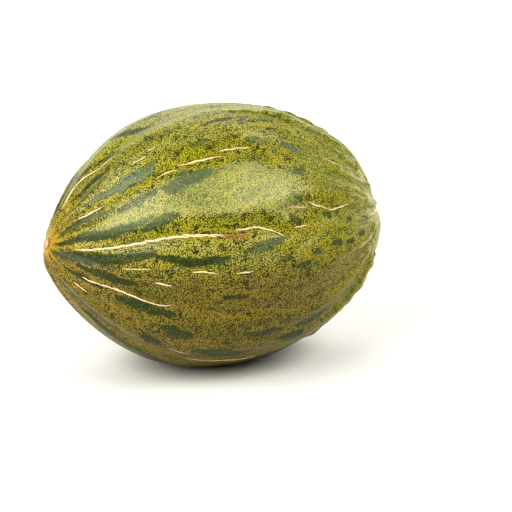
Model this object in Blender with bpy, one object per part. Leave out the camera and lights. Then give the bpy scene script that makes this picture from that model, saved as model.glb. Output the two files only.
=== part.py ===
"""A whole piel de sapo melon, lying on its side on a small flat spot.

The fruit is one closed body. It lies along X, with the blossom end at -X and the stem end at +X.
Its smooth form is a sphere stretched by a formula. The ribs of the blossom end, the wrinkles and the
dimple of the stem end are a relief added to it, and the cork cracks, the blossom scar and the short
cut of the stem are fused to it. The origin is under the middle of the fruit, on the surface that it
rests on.

Places on the skin are a latitude and a longitude in degrees. Latitude runs from 0 at the blossom end
to 180 at the stem end. Longitude is 0 at the front (-Y), 90 on top and 180 at the back.

Units are metres, with +Z up. Run with: blender --background --python part.py
"""

import bmesh
import bpy
import numpy as np
from mathutils import Matrix, Vector

MM = 0.001

# Smooth form
LENGTH = 250 * MM            # from the blossom end to the stem end
GIRTH_RATIO = 0.74           # greatest width, as a share of the length
STEM_FULLNESS = 0.105        # how much fuller the stem half is than the blossom half
END_TAPER = 0.277            # how much both ends draw in
BLOSSOM_LIFT = 10.0          # the blossom scar sits this much above the tip, degrees about the middle
STEM_LIFT = 6.0              # the stem sits this much above the middle of its end,
STEM_TURN = 15.0             # and this much towards the front
FRUIT_TILT = 2.0             # the stem end lies this much higher, degrees
REST_DEPTH = 1.0 * MM        # height that the flat resting spot takes off the round underside

# Relief of the skin
RIB_COUNT = 20               # ten ribs, each with a shallow groove along its middle
RIB_LONGITUDE = 6.0          # longitude of one rib's crest
RIB_HEIGHT = 0.55 * MM       # greatest height of a rib's crest above the mean skin
RIB_FADE = 75.0              # latitude by which the ribs have flattened out
WRINKLES = (                 # each family of wrinkles: how many round the fruit, height, phase
    (9, 0.50 * MM, 63.0),
    (14, 0.70 * MM, 338.0),
    (21, 0.80 * MM, 162.0),
)
WRINKLE_START = 70.0         # latitude where the wrinkles begin to rise
WRINKLE_FULL = 140.0         # latitude where they are at their full height
WRINKLE_REST = 0.11          # share of that height that is left on the blossom half
WRINKLE_TOP = 0.25           # and what is added to that share along the top
WRINKLE_WANDER = 3.0         # how far a wrinkle wanders from its meridian, degrees
WANDER_PHASE = 332.0
LUMPS = (                    # uneven places: latitude, longitude, height, half width in degrees
    (60, 105, 0.9 * MM, 14),
    (146, 81, 1.1 * MM, 7),
    (166, 65, -1.2 * MM, 7),
    (168, 350, 1.7 * MM, 8),
    (70, 200, 0.9 * MM, 24),
    (112, 262, -0.8 * MM, 22),
    (96, 150, 0.7 * MM, 20),
)
DIMPLE_DEPTH = 3.5 * MM      # hollow round the stem
DIMPLE_SPREAD = 7.0          # its half width, degrees of latitude

# What is fused to the skin
CORK_RADIUS = 1.0 * MM       # a cork crack is a tapered cord, sunk to most of its depth
CORK_SINK = 0.4 * MM         # depth of its middle line below the skin
CORK_LONG = 18.0             # a crack is at its full radius from this length on, degrees
CORK_STEP = 4.5              # distance between its stations, degrees
SCAR_RADIUS = 3.6 * MM       # blossom scar
SCAR_HEIGHT = 0.7 * MM
STEM_RADIUS = 5.5 * MM       # short cut of the stem
STEM_LENGTH = 2.4 * MM       # what stands out of the dimple's floor
STEM_LEAN = 3.0              # degrees

# Cork cracks of the front: points along each one as (latitude, longitude), from blossom to stem end
FRONT_CRACKS = (
    ((23, 3), (38, 8.5), (49, 12.5), (61, 15.5), (78, 14.5)),
    ((75, 15), (82, 15), (89, 16.5)),
    ((88, 17), (93, 14.5), (98, 11.5)),
    ((58, 47), (65, 47.5)),
    ((64.5, 49.5), (72.5, 49.5), (80, 50)),
    ((82, 52), (86.5, 52.5), (92.5, 52.5)),
    ((18, 91), (25, 93), (34, 89), (40, 82), (46, 79)),
    ((24, 42), (30, 42), (36, 43.5)),
    ((50.5, 61), (56, 62)),
    ((57, 65), (60.5, 65)),
    ((100, 23), (109, 22)),
    ((109.5, 24), (119, 20.5), (128, 20), (136, 21.5)),
    ((124, 47.5), (131, 45.5)),
    ((102, 14), (108, 14.5)),
    ((30.5, -26), (37, -23.5), (43.5, -21), (50, -21), (61, -18.5)),
    ((43.5, -4.5), (53, -1)),
    ((65.5, -1), (69, -0.5), (73.5, -1.5)),
    ((79.5, -1.5), (85.5, -1)),
    ((54.5, -8), (60, -8.5)),
)
# Cork cracks of the hidden sides are drawn by a seeded rule between these longitudes
BACK_CRACKS = 13
BACK_LONGITUDES = (108.0, 246.0)
LOW_CRACKS = 3
LOW_LONGITUDES = (-62.0, -36.0)
CRACK_SEED = 7

# Mesh
SEGMENTS = 120               # round the fruit
RINGS = 38                   # from end to end
END_CROWDING = 0.22          # how much closer together the rings are at the ends
WELD = 0.01 * MM             # points nearer than this are one

HALF_LENGTH = LENGTH / 2
HALF_WIDTH = HALF_LENGTH * GIRTH_RATIO


def smoothstep(low, high, value):
    """0 below low, 1 above high, and a smooth rise between them."""
    share = np.clip((value - low) / (high - low), 0, 1)
    return share * share * (3 - 2 * share)


def bump(at_latitude, at_longitude, spread, latitude, longitude):
    """1 at a place on the skin, fading to 0 in a bell shape with the angle from it."""
    low, high = np.radians(at_latitude), np.radians(latitude)
    around = np.cos(np.radians(longitude - at_longitude))
    cosine = np.cos(low) * np.cos(high) + np.sin(low) * np.sin(high) * around
    return np.exp((cosine - 1) / np.radians(spread) ** 2)


def relief(latitude, longitude):
    """Height of the skin above the smooth form: ribs, wrinkles and the stem's dimple."""
    ribs = RIB_HEIGHT * np.cos(np.radians(RIB_COUNT * (longitude - RIB_LONGITUDE)))
    ribs *= smoothstep(3, 22, latitude) * (1 - smoothstep(30, RIB_FADE, latitude))

    wander = WRINKLE_WANDER * np.sin(np.radians(5 * latitude + 3 * longitude + WANDER_PHASE))
    path = longitude + wander
    wrinkles = 0
    for count, height, phase in WRINKLES:
        half_wave = np.radians(count * path + phase) / 2
        wrinkles = wrinkles + height * (1 - 2 * np.sqrt(np.sin(half_wave) ** 2 + 0.01))
    rest = WRINKLE_REST + WRINKLE_TOP * bump(90, 78, 40, latitude, longitude)
    wrinkles *= rest + (1 - rest) * smoothstep(WRINKLE_START, WRINKLE_FULL, latitude)
    wrinkles *= smoothstep(5, 40, latitude) * smoothstep(3, 18, 180 - latitude)

    lumps = sum(height * bump(lat, lon, spread, latitude, longitude) for lat, lon, height, spread in LUMPS)
    dimple = DIMPLE_DEPTH * np.exp(-(((180 - latitude) / DIMPLE_SPREAD) ** 2))
    return ribs + wrinkles + lumps - dimple


def turned(first, second, angle):
    """Two coordinates turned in their plane by an angle in degrees, from the second to the first."""
    cosine, sine = np.cos(np.radians(angle)), np.sin(np.radians(angle))
    return first * cosine + second * sine, second * cosine - first * sine


def skin(latitude, longitude, height=0.0):
    """Points at a height above the skin, for arrays of latitudes and longitudes."""
    phi = np.radians(latitude)
    theta = np.radians(longitude)
    x = -np.cos(phi) * np.ones_like(theta)
    y = -np.sin(phi) * np.cos(theta)
    z = np.sin(phi) * np.sin(theta)

    # Towards each end the directions turn, which moves the scar and the stem off the long axis.
    near_blossom, near_stem = ((1 - x) / 2) ** 3, ((1 + x) / 2) ** 3
    x, z = turned(x, z, BLOSSOM_LIFT * near_blossom - STEM_LIFT * near_stem)
    x, y = turned(x, y, STEM_TURN * near_stem)

    half_width = HALF_WIDTH * (1 + STEM_FULLNESS * x ** 3 - END_TAPER * x ** 4)
    out = relief(latitude, longitude) + height
    px = HALF_LENGTH * x + out * x
    py = half_width * y + out * y
    pz = half_width * z + out * z

    px, pz = turned(px, pz, -FRUIT_TILT)
    return np.stack((px, py, pz), -1)


def pole(latitude, spread=4.0):
    """The skin's point at an end of the fruit, and its outward direction there."""
    ring = skin(np.full(4, abs(latitude - spread)), np.array([0.0, 90.0, 180.0, 270.0]))
    normal = Vector(ring[0] - ring[2]).cross(Vector(ring[1] - ring[3])).normalized()
    point = Vector(skin(np.array(latitude), np.array(0.0)))
    return point, normal if normal.dot(point) > 0 else -normal


def new_object(name, mesh_builder, collection, material):
    """An object whose mesh is made by a bmesh function."""
    mesh = bpy.data.meshes.new(name)
    shape = bmesh.new()
    mesh_builder(shape)
    bmesh.ops.recalc_face_normals(shape, faces=shape.faces)
    shape.to_mesh(mesh)
    shape.free()
    mesh.materials.append(material)
    obj = bpy.data.objects.new(name, mesh)
    collection.objects.link(obj)
    return obj


def new_material(name, colour, roughness):
    material = bpy.data.materials.new(name)
    material.use_nodes = True
    shader = material.node_tree.nodes["Principled BSDF"]
    shader.inputs["Base Color"].default_value = (*colour, 1)
    shader.inputs["Roughness"].default_value = roughness
    shader.inputs["Metallic"].default_value = 0
    return material


def new_collection(name):
    collection = bpy.data.collections.new(name)
    bpy.context.scene.collection.children.link(collection)
    return collection


def build_fruit(shape):
    """A sphere with its poles at the two ends, moved onto the skin."""
    bmesh.ops.create_uvsphere(shape, u_segments=SEGMENTS, v_segments=RINGS, radius=1)
    place = np.array([vertex.co for vertex in shape.verts])
    phi = np.arccos(np.clip(-place[:, 2], -1, 1))
    phi = phi - END_CROWDING * np.sin(2 * phi)
    longitude = np.degrees(np.arctan2(place[:, 1], place[:, 0]))
    for vertex, point in zip(shape.verts, skin(np.degrees(phi), longitude)):
        vertex.co = point


def build_blossom_scar(shape):
    """A low corky button on the blossom end."""
    point, normal = pole(0)
    depth = 6 * SCAR_HEIGHT
    turn = normal.to_track_quat("Z", "Y").to_matrix().to_4x4()
    place = Matrix.Translation(point + normal * (SCAR_HEIGHT - depth / 2)) @ turn
    bmesh.ops.create_cone(
        shape, cap_ends=True, segments=14, radius1=SCAR_RADIUS * 1.2, radius2=SCAR_RADIUS,
        depth=depth, matrix=place,
    )


def build_stem_cut(shape):
    """The short cut of the stem, standing in its dimple."""
    point, normal = pole(180)
    depth = 3 * STEM_LENGTH
    lean = Matrix.Rotation(np.radians(STEM_LEAN), 4, "Y")
    turn = normal.to_track_quat("Z", "Y").to_matrix().to_4x4()
    place = Matrix.Translation(point + normal * (STEM_LENGTH - depth / 2)) @ lean @ turn
    bmesh.ops.create_cone(
        shape, cap_ends=True, segments=20, radius1=STEM_RADIUS * 1.25, radius2=STEM_RADIUS,
        depth=depth, matrix=place,
    )


def drawn_cracks():
    """Cork cracks of the back and the low front, each a run of (latitude, longitude) points."""
    draw = np.random.default_rng(CRACK_SEED)
    cracks = []
    for count, (first, last) in ((BACK_CRACKS, BACK_LONGITUDES), (LOW_CRACKS, LOW_LONGITUDES)):
        for number in range(count):
            longitude = first + (last - first) * (number + draw.uniform(0.25, 0.75)) / count
            start = draw.uniform(26, 96)
            length = draw.uniform(7, 15) if number % 3 else draw.uniform(22, 42)
            stations = np.arange(start, start + length + 1, 7.0)
            drift = np.cumsum(draw.uniform(-1.6, 1.6, len(stations)))
            cracks.append(tuple(zip(stations, longitude + drift)))
    return cracks


def cork_crack(name, points, collection, material):
    """A raised cork crack: a cord that follows the skin, thick in the middle and fine at both ends.

    Its middle line is a smooth curve through the points, with longitude as a polynomial of latitude.
    """
    latitude, longitude = np.array(points, dtype=float).T
    length = latitude[-1] - latitude[0]
    stations = np.linspace(0, 1, max(4, round(length / CORK_STEP) + 1))
    along = latitude[0] + length * stations
    across = np.polyval(np.polyfit(latitude, longitude, min(3, len(points) - 1)), along)
    place = skin(along, across, -CORK_SINK)

    curve = bpy.data.curves.new(name, "CURVE")
    curve.dimensions = "3D"
    curve.bevel_depth = CORK_RADIUS
    curve.bevel_resolution = 1
    curve.use_fill_caps = True
    spline = curve.splines.new("POLY")
    spline.points.add(len(stations) - 1)
    fullness = min(1.0, 0.55 + 0.45 * length / CORK_LONG)
    for point, co, share in zip(spline.points, place, stations):
        point.co = (*co, 1)
        point.radius = fullness * (0.35 + 0.65 * np.sin(np.pi * share) ** 0.5)
    cord = bpy.data.objects.new(name + "_line", curve)
    collection.objects.link(cord)

    mesh = bpy.data.meshes.new_from_object(cord.evaluated_get(bpy.context.evaluated_depsgraph_get()))
    bpy.data.objects.remove(cord)
    shape = bmesh.new()
    shape.from_mesh(mesh)
    bmesh.ops.remove_doubles(shape, verts=shape.verts, dist=WELD)
    bmesh.ops.recalc_face_normals(shape, faces=shape.faces)
    shape.to_mesh(mesh)
    shape.free()
    mesh.materials.clear()
    mesh.materials.append(material)
    solid = bpy.data.objects.new(name, mesh)
    collection.objects.link(solid)


def apply_modifiers(obj):
    """Replace an object's mesh by its evaluated one, without the slivers that a union leaves."""
    evaluated = obj.evaluated_get(bpy.context.evaluated_depsgraph_get())
    mesh = bpy.data.meshes.new_from_object(evaluated)
    obj.modifiers.clear()
    obj.data = mesh
    shape = bmesh.new()
    shape.from_mesh(mesh)
    bmesh.ops.remove_doubles(shape, verts=shape.verts, dist=WELD)
    shape.to_mesh(mesh)
    shape.free()


def fuse(obj, collection):
    """Join everything in a collection to an object by one Boolean union, and remove the collection."""
    union = obj.modifiers.new("fuse", "BOOLEAN")
    union.operation = "UNION"
    union.operand_type = "COLLECTION"
    union.collection = collection
    union.solver = "EXACT"
    union.material_mode = "TRANSFER"
    apply_modifiers(obj)
    for piece in list(collection.objects):
        bpy.data.objects.remove(piece)
    bpy.data.collections.remove(collection)


def stand_on_floor(obj):
    """Move the mesh so that the resting plane is z = 0 and the fruit is centred over the origin."""
    points = np.array([vertex.co for vertex in obj.data.vertices])
    low, high = points.min(0), points.max(0)
    middle = (low + high) / 2
    obj.data.transform(Matrix.Translation((-middle[0], -middle[1], -low[2] - REST_DEPTH)))


def cut_resting_spot(obj, cutters):
    """Take off what lies below z = 0, which leaves the flat resting spot."""
    def build_slab(shape):
        bmesh.ops.create_cube(shape, size=1, matrix=Matrix.Translation((0, 0, -0.5)))

    material = obj.data.materials[0]
    slab = new_object("below_floor", build_slab, cutters, material)
    slab.hide_render = True
    slab.display_type = "WIRE"
    cut = obj.modifiers.new("resting_spot", "BOOLEAN")
    cut.operation = "DIFFERENCE"
    cut.object = slab
    cut.solver = "EXACT"


for old in list(bpy.data.objects):
    bpy.data.objects.remove(old)

melon_parts = new_collection("piel_de_sapo_melon")
cutters = new_collection("cutters")
fused = new_collection("fused_to_melon")

rind = new_material("rind_olive_green", (0.105, 0.135, 0.020), 0.42)
cork = new_material("cork_cream", (0.62, 0.45, 0.24), 0.85)

melon = new_object("melon", build_fruit, melon_parts, rind)
new_object("blossom_scar", build_blossom_scar, fused, cork)
new_object("stem_cut", build_stem_cut, fused, cork)
for index, crack in enumerate(FRONT_CRACKS + tuple(drawn_cracks())):
    cork_crack(f"cork_crack_{index:02d}", crack, fused, cork)
fuse(melon, fused)
stand_on_floor(melon)
cut_resting_spot(melon, cutters)
melon.data.shade_smooth()
melon.data.set_sharp_from_angle(angle=np.radians(35))
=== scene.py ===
"""The looks of a whole piel de sapo melon that lies on its side on a pale floor.

The rind, its cork cracks, the blossom scar and the cut of the stem are meshes worked out from one
formula of the skin, the same one that shapes the solid model. A place on the skin is a latitude, from 0
at the blossom end to 180 at the stem end, and a longitude, 0 at the front (-Y), 90 on top, 180 at the
back, both in degrees. Lengths are metres, except where a comment says millimetres.
"""

import bpy
import numpy as np
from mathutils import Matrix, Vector


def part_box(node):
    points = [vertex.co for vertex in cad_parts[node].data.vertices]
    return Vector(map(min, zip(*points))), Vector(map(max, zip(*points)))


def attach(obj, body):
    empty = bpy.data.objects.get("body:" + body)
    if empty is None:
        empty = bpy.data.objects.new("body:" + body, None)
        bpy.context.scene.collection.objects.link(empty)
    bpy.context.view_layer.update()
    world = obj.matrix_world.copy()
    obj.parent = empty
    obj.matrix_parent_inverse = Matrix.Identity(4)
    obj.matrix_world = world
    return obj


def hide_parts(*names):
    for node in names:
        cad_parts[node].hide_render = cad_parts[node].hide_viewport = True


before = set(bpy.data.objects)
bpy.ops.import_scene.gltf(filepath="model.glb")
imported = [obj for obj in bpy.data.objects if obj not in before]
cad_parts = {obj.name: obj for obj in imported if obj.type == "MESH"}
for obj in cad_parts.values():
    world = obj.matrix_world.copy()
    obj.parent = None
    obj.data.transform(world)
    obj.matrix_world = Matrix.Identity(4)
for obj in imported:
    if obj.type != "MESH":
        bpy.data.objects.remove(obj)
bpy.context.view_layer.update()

# ---------------------------------------------------------------------------------------------
# The rind: the whole outer skin of the fruit, about 250 mm long. It is a thin hard waxy skin that
# has ten broad lobes, is ribbed round the blossom end and shrinks into wrinkles at the stem end.
# It grows in one piece, so it is one closed surface, flat only where the fruit rests.
# ---------------------------------------------------------------------------------------------

MM = 0.001

# Smooth form
HALF_LENGTH = 125 * MM       # from the middle of the fruit to either end
HALF_WIDTH = 92.5 * MM
STEM_FULLNESS = 0.105        # how much fuller the stem half is than the blossom half
END_TAPER = 0.277            # how much both ends draw in
BLOSSOM_LIFT = 10.0          # the blossom scar sits this much above the tip, degrees about the middle
STEM_LIFT = 6.0              # the stem sits this much above the middle of its end,
STEM_TURN = 15.0             # and this much towards the front
FRUIT_TILT = 2.0             # the stem end lies this much higher, degrees

# Relief that the solid model has too
RIB_COUNT = 20               # ten ribs, each with a shallow groove along its middle
RIB_LONGITUDE = 6.0          # longitude of one rib's crest
RIB_HEIGHT = 0.55 * MM       # greatest height of a rib's crest above the mean skin
RIB_FADE = 75.0              # latitude by which the ribs have flattened out
WRINKLES = (                 # each family of wrinkles: how many round the fruit, height, phase
    (9, 0.50 * MM, 63.0), (14, 0.70 * MM, 338.0), (21, 0.80 * MM, 162.0),
)
WRINKLE_START = 70.0         # latitude where the wrinkles begin to rise
WRINKLE_FULL = 140.0         # latitude where they are at their full height
WRINKLE_REST = 0.11          # share of that height that is left on the blossom half
WRINKLE_TOP = 0.25           # and what is added to that share along the top
WRINKLE_WANDER = 3.0         # how far a wrinkle wanders from its meridian, degrees
WANDER_PHASE = 332.0
LUMPS = (                    # uneven places: latitude, longitude, height, half width in degrees
    (60, 105, 0.9 * MM, 14), (146, 81, 1.1 * MM, 7), (166, 65, -1.2 * MM, 7), (168, 350, 1.7 * MM, 8),
    (70, 200, 0.9 * MM, 24), (112, 262, -0.8 * MM, 22), (96, 150, 0.7 * MM, 20),
)
DIMPLE_DEPTH = 3.5 * MM      # hollow round the stem
DIMPLE_SPREAD = 7.0          # its half width, degrees of latitude

# Relief that only the looks have
LOBE_COUNT = 10
LOBE_HEIGHT = 2.2 * MM       # from the creases between the lobes up to the lobes' middles
CREASE_LATITUDES = (0, 23, 38, 49, 61, 78, 89, 98, 120, 180)    # places along the front crease
CREASE_LONGITUDES = (0, 3, 8.5, 12.5, 15.5, 14.5, 16.5, 11.5, 12, 8)
FINE_WRINKLES = (            # families as above, that rise between the next two latitudes
    (31, 0.42 * MM, 20.0), (43, 0.34 * MM, 250.0), (60, 0.18 * MM, 110.0),
)
FINE_START, FINE_FULL = 100.0, 150.0

# Ridges that swell out of the skin by the stem, as lines of latitude, longitude and half width in
# millimetres
RIDGES = (
    ((92, 78.5, 1.2), (102, 77, 2.4), (112, 75.5, 2.8), (120, 72, 3.0), (129, 70, 3.2),
     (138, 70, 3.0), (148, 75, 2.6), (158, 74, 2.2), (166, 72, 1.6)),
    ((94, 70, 1.0), (103, 66.5, 1.8), (112, 62.5, 2.2), (121, 60, 2.2), (130, 58.5, 2.6),
     (140, 56, 2.8), (150, 56, 1.8)),
    ((119, 47.5, 1.0), (126, 46.5, 1.8), (131, 45.5, 2.4), (142, 47.5, 3.0), (151, 48, 3.0),
     (160, 42, 2.0)),
    ((123, 32, 1.0), (130, 31, 1.8), (141, 32, 2.8), (151, 29, 2.6), (160, 26, 1.6)),
    ((128, 21, 1.0), (136, 22.5, 1.8), (148, 23.5, 2.8), (158, 20, 2.6), (163, 10, 1.4)),
    ((119, 13.5, 0.8), (129, 14, 1.6), (141, 14.5, 2.0), (152, 16, 1.2)),
    ((113, -2.5, 1.0), (120, -3, 1.8), (126, -3.5, 2.4), (133, -5, 3.0), (142.6, -7, 3.4),
     (150, -6.5, 3.0), (159, 2, 2.0)),
    ((128, -12.5, 1.0), (136, -14.5, 2.4), (144.3, -17, 3.0), (152, -16.5, 2.4), (160, -10, 1.4)),
)
HIDDEN_RIDGES = 13           # ridges drawn by rule on the sides that RIDGES doesn't cover,
RIDGE_LONGITUDES = (92.0, 324.0)    # between these longitudes
RIDGE_SEED = 3
RIDGE_PROFILE = np.array((0.2, 0.5, 0.8, 1.0, 0.8, 1.0, 0.6))    # width along one, as a share
RIDGE_SLOPE = 0.7            # height of a ridge, as a share of its half width
RIDGE_KNOBS = 0.55           # how much of that height its knobs add or take away
LATITUDE_DEGREE = 2.12       # millimetres on the skin for a degree, in the widest part
LONGITUDE_DEGREE = 1.62

COLUMNS, ROWS = 400, 246     # points round the fruit, and steps from end to end
RING_CROWDING = 5.0          # how far rings are moved towards the ends at most, degrees


def smoothstep(low, high, value):
    """0 below low, 1 above high, and a smooth rise between them."""
    share = np.clip((value - low) / (high - low), 0, 1)
    return share * share * (3 - 2 * share)


def bump(at_latitude, at_longitude, spread, latitude, longitude):
    """1 at a place on the skin, fading to 0 in a bell shape with the angle from it."""
    low, high = np.radians(at_latitude), np.radians(latitude)
    around = np.cos(np.radians(longitude - at_longitude))
    cosine = np.cos(low) * np.cos(high) + np.sin(low) * np.sin(high) * around
    return np.exp((cosine - 1) / np.radians(spread) ** 2)


def wrinkle_path(latitude, longitude):
    """Longitude along which wrinkles run: the meridian plus a slow sine of place."""
    return longitude + WRINKLE_WANDER * np.sin(np.radians(5 * latitude + 3 * longitude + WANDER_PHASE))


def folds(families, path):
    """Sum of waves with round crests and narrow furrows: 1 - 2 |sin| of half the wave's angle."""
    total = 0
    for count, height, phase in families:
        half_wave = np.radians(count * path + phase) / 2
        total = total + height * (1 - 2 * np.sqrt(np.sin(half_wave) ** 2 + 0.01))
    return total


def main_relief(latitude, longitude):
    """Height above the smooth form that the solid model has too.

    Ribs are a cosine round the blossom end, wrinkles are folds that grow from a low rest towards the
    stem, and lumps and the dimple are bells.
    """
    ribs = RIB_HEIGHT * np.cos(np.radians(RIB_COUNT * (longitude - RIB_LONGITUDE)))
    ribs *= smoothstep(3, 22, latitude) * (1 - smoothstep(30, RIB_FADE, latitude))
    wrinkles = folds(WRINKLES, wrinkle_path(latitude, longitude))
    rest = WRINKLE_REST + WRINKLE_TOP * bump(90, 78, 40, latitude, longitude)
    wrinkles *= rest + (1 - rest) * smoothstep(WRINKLE_START, WRINKLE_FULL, latitude)
    wrinkles *= smoothstep(5, 40, latitude) * smoothstep(3, 18, 180 - latitude)
    lumps = sum(height * bump(at_latitude, at_longitude, spread, latitude, longitude)
                for at_latitude, at_longitude, height, spread in LUMPS)
    dimple = DIMPLE_DEPTH * np.exp(-(((180 - latitude) / DIMPLE_SPREAD) ** 2))
    return ribs + wrinkles + lumps - dimple


def lobe_share(latitude, longitude):
    """How far across its lobe a place is, 0 and 1 at the creases on either side.

    Every crease bends as the front one does, and a sine makes it wander, more the further it is from
    the front.
    """
    from_front = longitude - np.interp(latitude, CREASE_LATITUDES, CREASE_LONGITUDES)
    wander = 2.5 * np.sin(np.radians(3.1 * latitude + 2 * longitude))
    wander = wander * (1 - np.cos(np.radians(from_front)))
    return np.mod((from_front + wander) * LOBE_COUNT / 360, 1)


def drawn_ridges():
    """Ridges of the sides that RIDGES doesn't cover: lines that wander along the meridians."""
    draw = np.random.default_rng(RIDGE_SEED)
    first, last = RIDGE_LONGITUDES
    points = len(RIDGE_PROFILE)
    ridges = []
    for number in range(HIDDEN_RIDGES):
        longitude = first + (last - first) * (number + draw.uniform(0.2, 0.8)) / HIDDEN_RIDGES
        latitudes = np.linspace(draw.uniform(94, 134), draw.uniform(150, 166), points)
        longitudes = longitude + np.cumsum(draw.uniform(-3.2, 3.2, points))
        half_widths = draw.uniform(2.0, 4.2) * RIDGE_PROFILE * draw.uniform(0.7, 1.2, points)
        ridges.append(tuple(zip(latitudes, longitudes, half_widths)))
    return ridges


def reach_of_line(line, latitude, longitude):
    """How far each place is from a line, over the line's half width there, and that half width.

    The line is a row of (latitude, longitude, half width in millimetres). Beside each stretch of it
    the skin is unrolled to millimetres along and round the fruit from the stretch's middle, and the
    distance is to the nearest point of the stretch. The nearest stretch counts.
    """
    reach, half_width = np.full(np.shape(latitude), np.inf), np.ones(np.shape(latitude))
    round_degree = np.sin(np.radians(np.clip(latitude, 4, 176))) * LONGITUDE_DEGREE
    line = np.array(line, dtype=float)
    for start, end in zip(line[:-1], line[1:]):
        middle, run = (start + end) / 2, end - start
        along = (latitude - middle[0]) * LATITUDE_DEGREE
        across = (np.mod(longitude - middle[1] + 180, 360) - 180) * round_degree
        run_along, run_across = run[0] * LATITUDE_DEGREE, run[1] * round_degree
        share = (along * run_along + across * run_across) / (run_along ** 2 + run_across ** 2)
        share = np.clip(share, -0.5, 0.5)
        half = middle[2] + share * run[2]
        here = np.hypot(along - share * run_along, across - share * run_across) / half
        half_width = np.where(here < reach, half, half_width)
        reach = np.minimum(reach, here)
    return reach, half_width


def ridge_relief(latitude, longitude):
    """Height of the ridges: the highest of the bells across all lines, times a product of two sines.

    Each bell is RIDGE_SLOPE times its line's half width high, and the sines make the crests knobbly.
    """
    height = np.zeros(np.shape(latitude))
    for line in RIDGES + tuple(drawn_ridges()):
        reach, half_width = reach_of_line(line, latitude, longitude)
        height = np.maximum(height, RIDGE_SLOPE * half_width * MM * np.exp(-2.0 * reach ** 2))
    rising, falling = np.radians(17 * latitude + 11 * longitude), np.radians(29 * latitude - 7 * longitude)
    knobs = 1 + RIDGE_KNOBS * np.sin(rising) * np.sin(falling)
    return height * knobs * smoothstep(4, 22, 180 - latitude)


def fine_relief(latitude, longitude):
    """Height that only the looks have.

    Each lobe is an arch, a sine to the power of 0.75, and fades towards the stem, where ridges and
    fine folds take over.
    """
    share = lobe_share(latitude, longitude)
    lobes = LOBE_HEIGHT * (np.sin(np.pi * share) ** 0.75 - 0.7)
    lobes *= smoothstep(8, 40, latitude) * (1 - smoothstep(95, 135, latitude))
    path = wrinkle_path(latitude, longitude) + 0.9 * np.sin(np.radians(13 * latitude + 5 * longitude))
    creases = folds(FINE_WRINKLES, path) * smoothstep(FINE_START, FINE_FULL, latitude)
    return lobes + creases * smoothstep(3, 20, 180 - latitude) + ridge_relief(latitude, longitude)


def turned(first, second, angle):
    """Two coordinates turned in their plane by an angle in degrees, from the second to the first."""
    cosine, sine = np.cos(np.radians(angle)), np.sin(np.radians(angle))
    return first * cosine + second * sine, second * cosine - first * sine


def smooth_form(latitude, longitude, out):
    """A sphere whose directions turn towards each end, stretched to the fruit's length and girth.

    The half width is HALF_WIDTH (1 + STEM_FULLNESS x^3 - END_TAPER x^4), with x from -1 to 1 along the
    fruit, and out is a height added along the direction from the centre.
    """
    phi, theta = np.radians(latitude), np.radians(longitude)
    x = -np.cos(phi) * np.ones_like(theta)
    y = -np.sin(phi) * np.cos(theta)
    z = np.sin(phi) * np.sin(theta)
    near_blossom, near_stem = ((1 - x) / 2) ** 3, ((1 + x) / 2) ** 3
    x, z = turned(x, z, BLOSSOM_LIFT * near_blossom - STEM_LIFT * near_stem)
    x, y = turned(x, y, STEM_TURN * near_stem)
    half_width = HALF_WIDTH * (1 + STEM_FULLNESS * x ** 3 - END_TAPER * x ** 4)
    px, pz = turned((HALF_LENGTH + out) * x, (half_width + out) * z, -FRUIT_TILT)
    return np.stack((px, (half_width + out) * y, pz), -1)


# The grid's rings lie closer together towards both ends, where the skin bends most
even_latitudes = np.linspace(0, 180, ROWS + 1)
ring_latitudes = (even_latitudes - RING_CROWDING * np.sin(np.radians(2 * even_latitudes)))[1:-1]
ring_longitudes = np.arange(COLUMNS) * 360 / COLUMNS - 180
grid_latitude, grid_longitude = np.meshgrid(ring_latitudes, ring_longitudes, indexing="ij")
grid_latitude = np.concatenate(([0.0], grid_latitude.ravel(), [180.0]))
grid_longitude = np.concatenate(([0.0], grid_longitude.ravel(), [0.0]))

# The skin is shifted on to the solid: the boxes share their middle in x and y, and their top in z
coarse = smooth_form(grid_latitude, grid_longitude, main_relief(grid_latitude, grid_longitude))
low, high = (np.array(corner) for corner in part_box("melon"))
SKIN_SHIFT = (low + high - coarse.min(0) - coarse.max(0)) / 2
SKIN_SHIFT[2] = high[2] - coarse[:, 2].max()


def skin(latitude, longitude, height=0.0):
    """Points at a height above the finished skin, never below the floor at z = 0."""
    out = main_relief(latitude, longitude) + fine_relief(latitude, longitude) + height
    points = smooth_form(latitude, longitude, out) + SKIN_SHIFT
    points[..., 2] = np.maximum(points[..., 2], 0)
    return points


def new_mesh(name, points, faces):
    """A mesh object at the origin, from an array of points and a list of faces, shaded smooth."""
    mesh = bpy.data.meshes.new(name)
    mesh.from_pydata(points.tolist(), [], faces)
    mesh.polygons.foreach_set("use_smooth", np.ones(len(mesh.polygons), bool))
    piece = bpy.data.objects.new(name, mesh)
    bpy.context.scene.collection.objects.link(piece)
    return piece


def ball_faces(rows, columns):
    """Faces of a closed grid: a point, then rings of columns points, then a last point.

    They point outwards where the rings run clockwise, seen from outside the first point.
    """
    ring = np.arange(columns)
    after = (ring + 1) % columns
    last = 1 + rows * columns
    faces = np.stack((np.zeros_like(ring), after + 1, ring + 1), -1).tolist()
    for row in range(rows - 1):
        start = 1 + row * columns
        quads = (start + ring, start + after, start + columns + after, start + columns + ring)
        faces += np.stack(quads, -1).tolist()
    start = last - columns
    faces += np.stack((start + ring, start + after, np.full_like(ring, last)), -1).tolist()
    return faces


def add_attribute(piece, name, values):
    """Give each vertex a number or a vector that the material reads."""
    kind, field = ("FLOAT", "value") if values.ndim == 1 else ("FLOAT_VECTOR", "vector")
    attribute = piece.data.attributes.new(name, kind, "POINT")
    attribute.data.foreach_set(field, values.astype(np.float32).ravel())


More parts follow.
